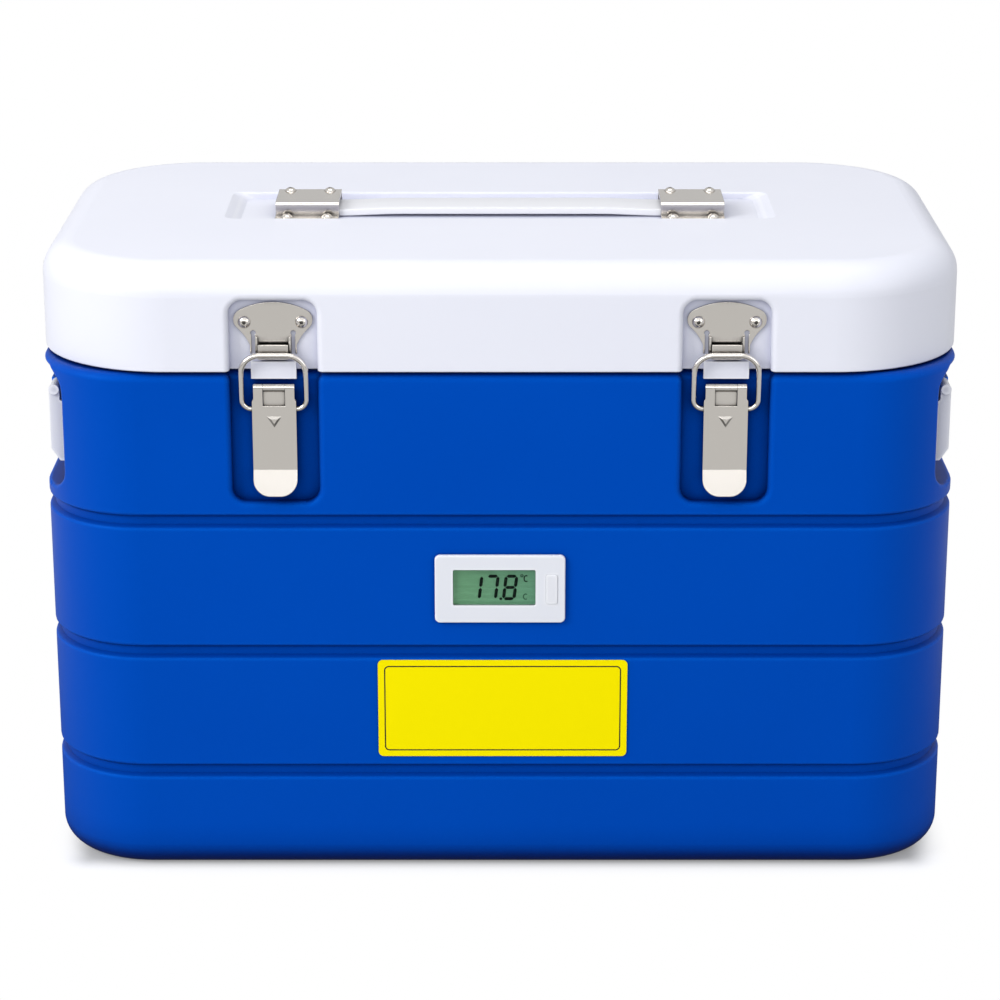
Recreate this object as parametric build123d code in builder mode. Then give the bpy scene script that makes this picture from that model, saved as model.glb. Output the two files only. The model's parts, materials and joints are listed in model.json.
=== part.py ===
"""Specimen transport box: an insulated carrying case with a hinged, latched lid.

All lengths are in millimetres. The origin is at the centre of the flat base,
+Z points up, and the front, with its two latches and thermometer, faces -Y.
"""

from build123d import *

import os
from math import atan2, cos, radians, sin

os.makedirs("parts", exist_ok=True)

# ---------------------------------------------------------------- driving sizes
# Body: a double-walled tub with three grooves round it.
body_width = 529.0
body_depth = 299.0
body_height = 303.8
body_corner_r = 58.0
shoulder_r = 5.0
base_edge_r = 15.0
wall = 3.5
groove_drops = (87.4, 166.8, 241.3)
groove_depth = 3.4
groove_mouth = 8.8
groove_floor = 4.4
groove_edge_r = 1.8
mouth_r = 2.0
pocket_mouth_r = 3.4

# Rim, where the outer shell and the inner liner meet under the lid.
rim_thick = 6.0
rim_width = 24.0
rebate_width = 8.0
liner_wall = 2.5
liner_inset = 36.0
liner_corner_r = 24.0
liner_floor_z = 42.0
liner_edge_r = 10.0

# Lid
seam_gap = 1.2
lid_overhang = 0.5
lid_height = 61.0
lid_corner_r = 76.0
lid_edge_r = 18.0
lid_lip_r = 1.0
panel_thick = 2.5
plug_drop = 12.0
plug_gap = 2.5
plug_wall = 2.5
plug_edge_r = 3.0
gasket_width = 8.0
gasket_gap = 0.2
gasket_inset = 20.0
gasket_seat = 1.2
panel_boss_r = 5.0
panel_screw_length = 14.0
panel_screw_step_x = 170.0
panel_screw_step_y = 150.0

# Clearances
over = 1.0  # how far a cut, or a joined block, runs past a face
fit_gap = 0.3
foam_gap = 0.2
pin_gap = 0.05

# Latches: a pocket runs over the seam, and the catch hardware lies in it.
latch_x = 127.5
pocket_width = 49.6
pocket_depth = 7.0
lid_pocket_rise = 42.4
body_pocket_drop = 75.8
pocket_corner_r = 8.0
sheet = 1.2
pin_r = 1.0
knuckle_r = 2.3
knuckle_gap = 0.15
lever_pin_drop = 8.3
lever_width = 24.9
lever_top_width = 23.2
lever_shoulder_drop = 15.8
lever_shoulder_rise = 1.5
lever_crease_drop = 56.0
lever_tip_drop = 70.8
lever_tip_kick = 4.4
lever_tip_corner_r = 9.6
lever_flange = 5.3
lever_window = 12.7
window_low_drop = 18.5
mark_width = 8.5
mark_height = 6.5
mark_top_drop = 24.6
mark_proud = 0.9
mark_slope = 55.0
base_width = 21.0
base_low_drop = 63.8
base_top_drop = 20.0
strip_foot_drop = 17.0
strip_neck_drop = 12.0
strip_front = 0.9
strip_rear = 0.3
strip_knee = 0.8
wire_r = 1.6
loop_width = 39.9
loop_pivot_drop = 20.8
loop_bar_rise = 11.2
loop_top_r = 11.0
loop_low_r = 5.6
keeper_width = 44.6
keeper_top_rise = 40.5
keeper_wide_rise = 30.3
keeper_neck_rise = 15.6
keeper_neck_width = 26.4
neck_flare_x = 2.8
neck_flare_z = 5.2
hook_width = 17.0
hook_low_rise = 7.7
hook_lip_rise = 16.7
hook_gap = 3.4
hook_bend_r = 2.2
hook_root = 6.0
hook_slot_width = 2.0
hook_slot_height = 12.0
hook_slot_end_r = 1.5
ear_low_rise = 10.7
ear_height = 10.0
ear_back = 1.0
tab_width = 25.6
tab_top_rise = 6.6
tab_low_drop = 3.4
tab_front = 3.4

# Screws: domed heads, one pattern for all of them.
screw_r = 2.0
screw_head_r = 3.6
screw_head_height = 2.2
socket_r = 1.15
socket_depth = 1.3
keeper_screw_x = 16.1
keeper_screw_rise = 29.0
base_screw_drops = (56.8, 35.8)

# Side handles, one in a recess on each end of the body.
recess_depth = 14.5
recess_length = 256.0
recess_low_drop = 75.8
recess_top_drop = 4.8
recess_corner_r = 15.0
handle_length = 234.0
handle_arm = 14.0
handle_low_drop = 60.8
grip_top_drop = 35.8
arm_step_drop = 25.8
arm_step_rise = 1.5
handle_pivot_drop = 17.8
handle_pivot_inset = 8.3
handle_back_inset = 13.3
handle_front_inset = 5.3
arm_half = 3.0
handle_edge_r = 1.2
handle_bevel = 5.0
handle_pin_r = 1.6
handle_pin_head = 1.5
lug_length = 10.0

# Thermometer in the front wall
meter_drop = 127.6
bezel_width = 75.0
bezel_height = 41.0
bezel_thick = 2.2
bezel_corner_r = 3.0
bezel_edge = 0.8
meter_box_width = 70.0
meter_box_height = 32.0
meter_box_depth = 20.0
meter_corner_r = 1.0
meter_inner_r = 0.8
meter_wall = 1.5
window_x = -3.3
window_z = 0.9
window_width = 47.4
window_height = 21.6
window_corner_r = 1.0
lens_thick = 1.2
lcd_thick = 2.4
lcd_corner_r = 1.2
button_x = 29.7
button_width = 6.6
button_height = 17.7
button_proud = 0.6
button_corner_r = 1.2
button_edge_r = 0.4
button_travel = 0.8
board_thick = 1.6
board_corner_r = 0.6
cell_r = 5.8
cell_thick = 5.4
cell_spacing = 15.6
cable_r = 1.5
probe_r = 2.5
probe_tip_r = 2.4
probe_reach = 26.0
grommet_r = 5.0
grommet_lip = 1.5

# Label plate
label_width = 144.8
label_height = 60.0
label_x = 1.5
label_drop = 201.7
label_thick = 0.6
label_corner_r = 3.0

# Hinges on the back
hinge_x = 127.0
leaf_width = 46.0
leaf_height = 28.0
leaf_thick = 1.5
hinge_knuckle_r = 3.5
hinge_pin_r = 1.75
hinge_centre_width = 16.0
hinge_screw_x = 15.0
hinge_screw_drop = 16.0

# Handle in the lid
well_width = 328.0
well_depth = 72.0
well_centre_y = 8.0
well_drop = 4.0
well_slope = 9.0
well_corner_r = 6.0
well_edge_r = 1.5
well_draft = 0.25
bracket_x = 115.5
bracket_width = 38.0
bracket_front_y = -9.0
bracket_back_y = 29.5
bracket_thick = 1.5
bracket_rise = 5.4
flange_reach = 10.0
bracket_bend_r = 1.8
bracket_screw_x = 12.0
bracket_rear_screw_y = 23.6
strap_front_y = -7.0
strap_back_y = 21.0
strap_thick = 4.2
strap_half = 132.0
strap_arch = 1.1
strap_gap = 0.5
grip_half = 60.0
strap_edge_r = 1.4

# ---------------------------------------------------------------- worked-out places
# Heights of everything that hangs from, or stands on, the rim of the body
body_pocket_low = body_height - body_pocket_drop
lid_pocket_top = body_height + lid_pocket_rise
lever_pin_z = body_height - lever_pin_drop
lever_shoulder_z = body_height - lever_shoulder_drop
lever_crease_z = body_height - lever_crease_drop
lever_tip_z = body_height - lever_tip_drop
window_low_z = body_height - window_low_drop
mark_top_z = body_height - mark_top_drop
base_low_z = body_height - base_low_drop
loop_pivot_z = body_height - loop_pivot_drop
loop_bar_z = body_height + loop_bar_rise
keeper_top_z = body_height + keeper_top_rise
keeper_wide_z = body_height + keeper_wide_rise
keeper_neck_z = body_height + keeper_neck_rise
hook_low_z = body_height + hook_low_rise
hook_lip_z = body_height + hook_lip_rise
ear_low_z = body_height + ear_low_rise
tab_top_z = body_height + tab_top_rise
tab_low_z = body_height - tab_low_drop
keeper_screw_z = body_height + keeper_screw_rise
base_screw_heights = [body_height - drop for drop in base_screw_drops]
recess_low_z = body_height - recess_low_drop
recess_top_z = body_height - recess_top_drop
handle_low_z = body_height - handle_low_drop
grip_top_z = body_height - grip_top_drop
arm_step_z = body_height - arm_step_drop
handle_pivot_z = body_height - handle_pivot_drop
meter_z = body_height - meter_drop
label_z = body_height - label_drop
groove_heights = [body_height - drop for drop in groove_drops]

body_front = -body_depth / 2
body_side = body_width / 2
body_back = body_depth / 2
lid_width = body_width + 2 * lid_overhang
lid_depth = body_depth + 2 * lid_overhang
lid_low_z = body_height + seam_gap
lid_top_z = lid_low_z + lid_height
lid_front = -lid_depth / 2
lid_back = lid_depth / 2
pocket_floor = lid_front + pocket_depth
sheet_front = pocket_floor - sheet
well_floor_z = lid_top_z - well_drop
pin_y = lid_front + knuckle_r
lip_front = sheet_front - hook_gap - sheet
loop_bar_y = lip_front - fit_gap - wire_r
loop_pivot_y = lid_front + lever_flange / 2
hinge_y = lid_back + hinge_knuckle_r + fit_gap
hinge_z = body_height + seam_gap / 2
sides = {"left": -1, "right": 1}


# ---------------------------------------------------------------- shared shapes
def prism(width, depth, corner_r, low, high, mode=Mode.ADD, centre=(0, 0)):
    """An upright rounded block between two heights."""
    with BuildSketch(Plane.XY.offset(low)) as outline:
        with Locations(centre):
            RectangleRounded(width, depth, corner_r)
    extrude(outline.sketch, amount=high - low, mode=mode)


def cuboid(x_range, y_range, z_range, mode=Mode.ADD):
    """A plain block between two values on each axis."""
    with BuildSketch(Plane.XY.offset(z_range[0])) as outline:
        with Locations(((x_range[0] + x_range[1]) / 2, (y_range[0] + y_range[1]) / 2)):
            Rectangle(x_range[1] - x_range[0], y_range[1] - y_range[0])
    extrude(outline.sketch, amount=z_range[1] - z_range[0], mode=mode)


def bar(x_range, points, radii=0.0, mode=Mode.ADD):
    """A section given as (y, z) points, drawn out along X."""
    with BuildSketch(Plane.YZ.offset(x_range[0])) as section:
        with BuildLine():
            Polyline(*points, close=True)
        make_face()
        if radii:
            fillet(section.vertices(), radii)
    extrude(section.sketch, amount=x_range[1] - x_range[0], mode=mode)


def rod(start, direction, radius, length, mode=Mode.ADD):
    """A round rod from a start point along a direction."""
    with BuildSketch(Plane(origin=start, z_dir=direction)) as circle:
        Circle(radius)
    extrude(circle.sketch, amount=length, mode=mode)


def domed_screw(shank_length):
    """A screw standing on the origin: domed head up, shank down."""
    dome_r = (screw_head_r**2 + screw_head_height**2) / (2 * screw_head_height)
    with BuildPart() as screw:
        with BuildSketch(Plane.XZ):
            with BuildLine():
                Polyline(
                    (0, screw_head_height),
                    (0, -shank_length),
                    (screw_r, -shank_length),
                    (screw_r, 0),
                    (screw_head_r, 0),
                )
                RadiusArc((screw_head_r, 0), (0, screw_head_height), -dome_r)
            make_face()
        revolve(axis=Axis.Z)
        with BuildSketch(Plane.XY.offset(screw_head_height - socket_depth)):
            RegularPolygon(socket_r, 6)
        extrude(amount=socket_depth + over, mode=Mode.SUBTRACT)
    return screw.part


def screw_at(screw, seat, outward):
    """A copy of a screw with its head on seat, pointing outward."""
    return screw.moved(Plane(origin=seat, z_dir=outward).location)


def rounded_path(width, depth, corner_r, height):
    """The outline of a rounded rectangle, starting in the middle of its front."""
    half_w = width / 2
    half_d = depth / 2
    corners = ((1, -1, -90), (1, 1, 0), (-1, 1, 90), (-1, -1, 180))
    with BuildLine(Plane.XY.offset(height)) as path:
        Line((0, -half_d), (half_w - corner_r, -half_d))
        for x_side, y_side, start in corners:
            centre = (x_side * (half_w - corner_r), y_side * (half_d - corner_r))
            CenterArc(centre, corner_r, start, 90)
        Line((half_w, corner_r - half_d), (half_w, half_d - corner_r))
        Line((half_w - corner_r, half_d), (corner_r - half_w, half_d))
        Line((-half_w, half_d - corner_r), (-half_w, corner_r - half_d))
        Line((corner_r - half_w, -half_d), (0, -half_d))
    return path.wire()


def body_form(inset, top):
    """The body's grooved form, moved inwards by inset on its sides and base."""
    width = body_width - 2 * inset
    depth = body_depth - 2 * inset
    corner_r = body_corner_r - inset
    front = -depth / 2
    with BuildPart() as form:
        prism(width, depth, corner_r, inset, top)
        fillet(form.faces().sort_by(Axis.Z)[0].edges(), base_edge_r - inset)
        for height in groove_heights:
            mouth = groove_mouth / 2 + inset
            floor = groove_floor / 2 + inset
            slope = (mouth - floor) / groove_depth * over
            with BuildSketch(Plane.YZ) as section:
                with BuildLine():
                    Polyline(
                        (front - over, height - mouth - slope),
                        (front + groove_depth, height - floor),
                        (front + groove_depth, height + floor),
                        (front - over, height + mouth + slope),
                        close=True,
                    )
                make_face()
            path = rounded_path(width, depth, corner_r, height)
            sweep(section.sketch, path=path, mode=Mode.SUBTRACT)
    return form.part


def lid_form(inset):
    """The lid's outer form, moved inwards by inset on its sides and top."""
    with BuildPart() as form:
        prism(
            lid_width - 2 * inset,
            lid_depth - 2 * inset,
            lid_corner_r - inset,
            lid_low_z,
            lid_top_z - inset,
        )
        fillet(form.faces().sort_by(Axis.Z)[-1].edges(), lid_edge_r - inset)
    return form.part


def latch_pocket(x, low, high, grow, mode):
    """The block of one latch pocket, larger all round by grow, rounded at one end."""
    width = pocket_width + 2 * grow
    front = lid_front - over if grow == 0 else lid_front + over
    with BuildSketch(Plane.XZ.offset(-front)) as outline:
        with Locations((x, (low + high) / 2)):
            RectangleRounded(width, high - low, pocket_corner_r + grow)
    extrude(outline.sketch, amount=-(pocket_floor + grow - front), mode=mode)


def save(piece, name):
    """Labels a finished sub-part and writes it as its own STEP file."""
    piece.label = name
    export_step(piece, f"parts/{name}.step")


# ---------------------------------------------------------------- body: shells and foam
rim_low = body_height - rim_thick
recess_floor_x = body_side - recess_depth
pivot_x = body_side - handle_pivot_inset
handle_half = handle_length / 2
meter_back_y = body_front + meter_box_depth


def side_recess(side, grow, outer_x, mode):
    """The handle recess in one end, larger all round by grow."""
    inner_x = recess_floor_x - grow
    length = recess_length + 2 * grow
    height = recess_top_z - recess_low_z + 2 * grow
    with BuildSketch(Plane.YZ.offset(side * inner_x)) as outline:
        with Locations((0, (recess_low_z + recess_top_z) / 2)):
            RectangleRounded(length, height, recess_corner_r + grow)
    extrude(outline.sketch, amount=side * (outer_x - inner_x), mode=mode)


def inner_form(inset):
    """The space between the shells, less every recess that is let into it."""
    form = body_form(inset, rim_low - (inset - wall))
    with BuildPart() as space:
        add(form)
        for side in sides.values():
            latch_pocket(side * latch_x, body_pocket_low - inset, body_height, inset, Mode.SUBTRACT)
            side_recess(side, inset, body_side + over, Mode.SUBTRACT)
    return space.part


outer_form = body_form(0, body_height)
shell_void = inner_form(wall)
foam_form = inner_form(wall + foam_gap)

lug_inner = handle_half - handle_arm - lug_length - fit_gap
lug_outer = handle_half - handle_arm - fit_gap

def in_pocket_mouth(edge):
    """Whether an edge lies round the mouth of a latch pocket, on the body's front."""
    middle = edge.center()
    beside = abs(abs(middle.X) - latch_x) < pocket_width / 2 + fit_gap
    return beside and middle.Y < body_front + fit_gap and middle.Z > body_pocket_low - fit_gap


def in_recess_mouth(edge):
    """Whether an edge lies round the mouth of a handle recess."""
    ends = [abs(corner.X) for corner in edge.vertices()]
    middle = edge.center()
    in_height = recess_low_z - fit_gap < middle.Z < recess_top_z + fit_gap
    return in_height and min(ends) > recess_floor_x + fit_gap


with BuildPart() as outer_shell:
    add(outer_form)
    for height in groove_heights:
        for edge_z in (height - groove_mouth / 2, height + groove_mouth / 2):
            band = (edge_z - pin_gap, edge_z + pin_gap)
            fillet(outer_shell.edges().filter_by_position(Axis.Z, *band), groove_edge_r)
    for side in sides.values():
        pocket_top = body_height + pocket_corner_r + over
        latch_pocket(side * latch_x, body_pocket_low, pocket_top, 0, Mode.SUBTRACT)
    fillet(outer_shell.edges().filter_by(in_pocket_mouth), pocket_mouth_r)
    fillet(outer_shell.faces().sort_by(Axis.Z)[-1].edges(), shoulder_r)
    for side in sides.values():
        side_recess(side, 0, body_side + over, Mode.SUBTRACT)
    fillet(outer_shell.edges().filter_by(Axis.X, reverse=True).filter_by(in_recess_mouth), mouth_r)
    add(shell_void, mode=Mode.SUBTRACT)
    prism(
        body_width - 2 * rim_width,
        body_depth - 2 * rim_width,
        body_corner_r - rim_width,
        rim_low - over,
        body_height + over,
        Mode.SUBTRACT,
    )
    prism(
        body_width - 2 * (rim_width - rebate_width),
        body_depth - 2 * (rim_width - rebate_width),
        body_corner_r - rim_width + rebate_width,
        body_height - rim_thick / 2,
        body_height + over,
        Mode.SUBTRACT,
    )
    screw_hole_r = screw_r + pin_gap
    hole_length = wall + 2 * over
    for side in sides.values():
        for end in (-1, 1):
            lug_y = sorted((end * lug_inner, end * lug_outer))
            lug_x = sorted((side * (recess_floor_x - over), side * (pivot_x + arm_half)))
            lug_z = (handle_pivot_z - arm_half, handle_pivot_z + arm_half)
            cuboid(lug_x, lug_y, lug_z)
            bore_start = (side * pivot_x, end * (lug_inner - over), handle_pivot_z)
            bore_length = lug_length + 2 * over
            rod(bore_start, (0, end, 0), handle_pin_r + pin_gap, bore_length, Mode.SUBTRACT)
        for height in base_screw_heights:
            hole = (side * latch_x, pocket_floor - over, height)
            rod(hole, (0, 1, 0), screw_hole_r, hole_length, Mode.SUBTRACT)
        for end in (-1, 1):
            hole_x = side * hinge_x + end * hinge_screw_x
            hole = (hole_x, body_back + over, hinge_z - hinge_screw_drop)
            rod(hole, (0, -1, 0), screw_hole_r, hole_length, Mode.SUBTRACT)
    cutout_x = (-meter_box_width / 2 - fit_gap, meter_box_width / 2 + fit_gap)
    cutout_z = (meter_z - meter_box_height / 2 - fit_gap, meter_z + meter_box_height / 2 + fit_gap)
    cuboid(cutout_x, (body_front - over, body_front + wall + over), cutout_z, Mode.SUBTRACT)
save(outer_shell.part, "outer_shell")

cavity_inset = liner_inset + liner_wall
flange_inset = rim_width - rebate_width + fit_gap
flange_low = body_height - rim_thick / 2
cavity_front = body_front + cavity_inset
liner_front = body_front + liner_inset

with BuildPart() as cavity:
    prism(
        body_width - 2 * cavity_inset,
        body_depth - 2 * cavity_inset,
        liner_corner_r - liner_wall,
        liner_floor_z + liner_wall,
        body_height + over,
    )
    fillet(cavity.faces().sort_by(Axis.Z)[0].edges(), liner_edge_r - liner_wall)

with BuildPart() as inner_liner:
    prism(
        body_width - 2 * liner_inset,
        body_depth - 2 * liner_inset,
        liner_corner_r,
        liner_floor_z,
        body_height,
    )
    fillet(inner_liner.faces().sort_by(Axis.Z)[0].edges(), liner_edge_r)
    prism(
        body_width - 2 * flange_inset,
        body_depth - 2 * flange_inset,
        body_corner_r - flange_inset,
        flange_low,
        body_height,
    )
    add(cavity.part, mode=Mode.SUBTRACT)
    stem_hole = (0, liner_front - over, meter_z)
    rod(stem_hole, (0, 1, 0), grommet_r - grommet_lip + pin_gap, liner_wall + 2 * over, Mode.SUBTRACT)
save(inner_liner.part, "inner_liner")

with BuildPart() as body_foam:
    add(foam_form)
    prism(
        body_width - 2 * liner_inset + 2 * foam_gap,
        body_depth - 2 * liner_inset + 2 * foam_gap,
        liner_corner_r + foam_gap,
        liner_floor_z - foam_gap,
        body_height,
        Mode.SUBTRACT,
    )
    room_x = (cutout_x[0] - foam_gap, cutout_x[1] + foam_gap)
    room_z = (cutout_z[0] - foam_gap, cutout_z[1] + foam_gap)
    cuboid(room_x, (body_front, meter_back_y + fit_gap), room_z, Mode.SUBTRACT)
    rod((0, meter_back_y, meter_z), (0, 1, 0), grommet_r + foam_gap, liner_inset, Mode.SUBTRACT)
save(body_foam.part, "body_foam")

with BuildPart() as blank_label:
    with BuildSketch(Plane.XZ.offset(-body_front)):
        with Locations((label_x, label_z)):
            RectangleRounded(label_width, label_height, label_corner_r)
    extrude(amount=label_thick)
save(blank_label.part, "blank_label")

# ---------------------------------------------------------------- thermometer
box_inner_w = meter_box_width - 2 * meter_wall
box_inner_h = meter_box_height - 2 * meter_wall
face_y = body_front - bezel_thick
lens_back_y = face_y + bezel_edge + lens_thick
cover_front_y = meter_back_y - meter_wall
board_y = cover_front_y - cell_thick - fit_gap - board_thick


def front_plate(centre_x, centre_z, width, height, corner_r, y_front, y_back, mode=Mode.ADD):
    """A rounded plate that lies in the front wall, between two depths."""
    with BuildSketch(Plane.XZ.offset(-y_front)) as outline:
        with Locations((centre_x, centre_z)):
            RectangleRounded(width, height, corner_r)
    extrude(outline.sketch, amount=y_front - y_back, mode=mode)


with BuildPart() as thermometer_bezel:
    front_plate(0, meter_z, bezel_width, bezel_height, bezel_corner_r, face_y, body_front)
    fillet(thermometer_bezel.faces().sort_by(Axis.Y)[0].edges(), bezel_edge)
    front_plate(0, meter_z, meter_box_width, meter_box_height, meter_corner_r, body_front, cover_front_y)
    front_plate(
        0, meter_z, box_inner_w, box_inner_h, meter_inner_r,
        body_front + meter_wall, cover_front_y + over, Mode.SUBTRACT,
    )
    front_plate(
        window_x, meter_z + window_z, window_width + 2 * pin_gap, window_height + 2 * pin_gap,
        window_corner_r, face_y - over, body_front + meter_wall + over, Mode.SUBTRACT,
    )
    front_plate(
        button_x, meter_z, button_width + 2 * pin_gap, button_height + 2 * pin_gap,
        button_corner_r, face_y - over, body_front + meter_wall + over, Mode.SUBTRACT,
    )
save(thermometer_bezel.part, "thermometer_bezel")

with BuildPart() as thermometer_lens:
    front_plate(
        window_x, meter_z + window_z, window_width, window_height, window_corner_r,
        face_y + bezel_edge, lens_back_y,
    )
save(thermometer_lens.part, "thermometer_lens")

with BuildPart() as lcd_panel:
    front_plate(
        window_x, meter_z + window_z, window_width, window_height, lcd_corner_r,
        lens_back_y, lens_back_y + lcd_thick,
    )
save(lcd_panel.part, "lcd_panel")

button_front_y = face_y - button_proud
button_stem_y = board_y - button_travel - 2 * fit_gap
with BuildPart() as thermometer_button:
    front_plate(
        button_x, meter_z, button_width, button_height, button_corner_r,
        button_front_y, button_stem_y,
    )
    fillet(thermometer_button.faces().sort_by(Axis.Y)[0].edges(), button_edge_r)
save(thermometer_button.part, "thermometer_button")

with BuildPart() as thermometer_board:
    board_width = box_inner_w - 2 * fit_gap
    board_height = box_inner_h - 2 * fit_gap
    front_plate(0, meter_z, board_width, board_height, board_corner_r, board_y, board_y + board_thick)
save(thermometer_board.part, "thermometer_board")

with BuildPart() as button_cells:
    for end in (-1, 1):
        cell_start = (end * cell_spacing / 2, board_y + board_thick, meter_z)
        rod(cell_start, (0, 1, 0), cell_r, cell_thick)
save(button_cells.part, "button_cells")

with BuildPart() as thermometer_back_cover:
    front_plate(0, meter_z, meter_box_width, meter_box_height, meter_corner_r, cover_front_y, meter_back_y)
    cable_hole = (0, cover_front_y - over, meter_z)
    rod(cable_hole, (0, 1, 0), cable_r + pin_gap, meter_wall + 2 * over, Mode.SUBTRACT)
save(thermometer_back_cover.part, "thermometer_back_cover")

with BuildPart() as probe_cable:
    cable_start = cover_front_y + fit_gap
    rod((0, cable_start, meter_z), (0, 1, 0), cable_r, liner_front - cable_start)
save(probe_cable.part, "probe_cable")

with BuildPart() as temperature_probe:
    rod((0, liner_front, meter_z), (0, 1, 0), probe_r, probe_reach)
    fillet(temperature_probe.faces().sort_by(Axis.Y)[-1].edges(), probe_tip_r)
save(temperature_probe.part, "temperature_probe")

with BuildPart() as probe_grommet:
    rod((0, liner_front - grommet_lip, meter_z), (0, 1, 0), grommet_r, grommet_lip)
    rod((0, liner_front, meter_z), (0, 1, 0), grommet_r - grommet_lip, liner_wall)
    rod((0, cavity_front, meter_z), (0, 1, 0), grommet_r, grommet_lip)
    probe_hole = (0, liner_front - grommet_lip - over, meter_z)
    probe_hole_length = liner_wall + 2 * grommet_lip + 2 * over
    rod(probe_hole, (0, 1, 0), probe_r + pin_gap, probe_hole_length, Mode.SUBTRACT)
save(probe_grommet.part, "probe_grommet")

# ---------------------------------------------------------------- latches
lever_half = lever_width / 2
lever_top_half = lever_top_width / 2
window_half = lever_window / 2
strip_half = window_half - knuckle_gap
front_plane = Plane.XZ.offset(-lid_front)
plate_screw = domed_screw(sheet + wall)


def latch_base(x):
    """The plate behind a lever, bent out at the top into the middle knuckle."""
    plate_x = (x - base_width / 2, x + base_width / 2)
    base_top_z = lever_pin_z - base_top_drop
    foot_z = lever_pin_z - strip_foot_drop
    neck_z = lever_pin_z - strip_neck_drop
    with BuildPart() as base:
        cuboid(plate_x, (sheet_front, pocket_floor), (base_low_z, base_top_z))
        bar(
            (x - strip_half, x + strip_half),
            (
                (pocket_floor, base_top_z - over),
                (sheet_front, base_top_z - over),
                (sheet_front, foot_z),
                (pin_y - strip_front, neck_z),
                (pin_y - strip_front, lever_pin_z),
                (pin_y + strip_rear, lever_pin_z),
                (pin_y + strip_rear, neck_z + strip_knee),
                (pocket_floor, foot_z + strip_knee),
            ),
        )
        rod((x - strip_half, pin_y, lever_pin_z), (1, 0, 0), knuckle_r, 2 * strip_half)
        bore = (x - strip_half - over, pin_y, lever_pin_z)
        rod(bore, (1, 0, 0), pin_r + pin_gap, 2 * strip_half + 2 * over, Mode.SUBTRACT)
        for height in base_screw_heights:
            hole = (x, sheet_front - over, height)
            rod(hole, (0, 1, 0), screw_hole_r, sheet + 2 * over, Mode.SUBTRACT)
    return base.part


def latch_lever(x):
    """A pressed channel lever: two knuckles, a window, a raised mark and a turned-out tip."""
    tip_rise = lever_crease_z - lever_tip_z
    tip_plane = Plane(
        origin=(x, lid_front, lever_crease_z),
        x_dir=(1, 0, 0),
        z_dir=(0, -tip_rise, lever_tip_kick),
    )
    tip_length = (tip_rise**2 + lever_tip_kick**2) ** 0.5
    with BuildPart() as lever:
        with BuildSketch(front_plane) as plate:
            with BuildLine():
                Polyline(
                    (x - lever_half, lever_crease_z - sheet / 4),
                    (x + lever_half, lever_crease_z - sheet / 4),
                    (x + lever_half, lever_shoulder_z),
                    (x + lever_top_half, lever_shoulder_z + lever_shoulder_rise),
                    (x + lever_top_half, lever_pin_z),
                    (x - lever_top_half, lever_pin_z),
                    (x - lever_top_half, lever_shoulder_z + lever_shoulder_rise),
                    (x - lever_half, lever_shoulder_z),
                    close=True,
                )
            make_face()
        extrude(plate.sketch, amount=-sheet)
        with BuildSketch(tip_plane) as tip:
            with Locations((0, -tip_length / 2)):
                Rectangle(lever_width, tip_length)
            fillet(tip.vertices().group_by(Axis.Y)[0], lever_tip_corner_r)
        extrude(tip.sketch, amount=-sheet)
        for end in (-1, 1):
            flange_x = sorted((x + end * (lever_half - sheet), x + end * lever_half))
            cuboid(flange_x, (lid_front, lid_front + lever_flange), (lever_crease_z, lever_shoulder_z))
            knuckle_x = min(x + end * window_half, x + end * lever_top_half)
            rod((knuckle_x, pin_y, lever_pin_z), (1, 0, 0), knuckle_r, lever_top_half - window_half)
        window_y = (lid_front - over, lid_front + lever_flange)
        window_z_range = (window_low_z, lever_pin_z + knuckle_r + over)
        cuboid((x - window_half, x + window_half), window_y, window_z_range, Mode.SUBTRACT)
        with BuildSketch(front_plane) as mark:
            with BuildLine():
                Polyline(
                    (x - mark_width / 2, mark_top_z),
                    (x + mark_width / 2, mark_top_z),
                    (x, mark_top_z - mark_height),
                    close=True,
                )
            make_face()
        extrude(mark.sketch, amount=mark_proud, taper=mark_slope)
        bore_x = x - lever_half - over
        bore_length = lever_width + 2 * over
        rod((bore_x, pin_y, lever_pin_z), (1, 0, 0), pin_r + pin_gap, bore_length, Mode.SUBTRACT)
        loop_bore = (bore_x, loop_pivot_y, loop_pivot_z)
        rod(loop_bore, (1, 0, 0), wire_r + pin_gap, bore_length, Mode.SUBTRACT)
    return lever.part


def latch_loop(x):
    """The bent wire loop, whose ends turn into the lever's flanges."""
    half = loop_width / 2 - wire_r
    end_x = lever_half - sheet - fit_gap
    rise = ((loop_bar_y - loop_pivot_y) ** 2 + (loop_bar_z - loop_pivot_z) ** 2) ** 0.5
    wire_plane = Plane(
        origin=(x, loop_pivot_y, loop_pivot_z),
        x_dir=(1, 0, 0),
        z_dir=(0, loop_pivot_z - loop_bar_z, loop_bar_y - loop_pivot_y),
    )
    with BuildPart() as loop:
        with BuildLine(wire_plane) as wire:
            FilletPolyline(
                (-end_x, 0),
                (-half, 0),
                (-half, rise),
                (half, rise),
                (half, 0),
                (end_x, 0),
                radius=(loop_low_r, loop_top_r, loop_top_r, loop_low_r),
            )
        wire_start = Plane(origin=(x - end_x, loop_pivot_y, loop_pivot_z), z_dir=(-1, 0, 0))
        with BuildSketch(wire_start) as section:
            Circle(wire_r)
        sweep(section.sketch, path=wire.wire())
    return loop.part


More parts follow.
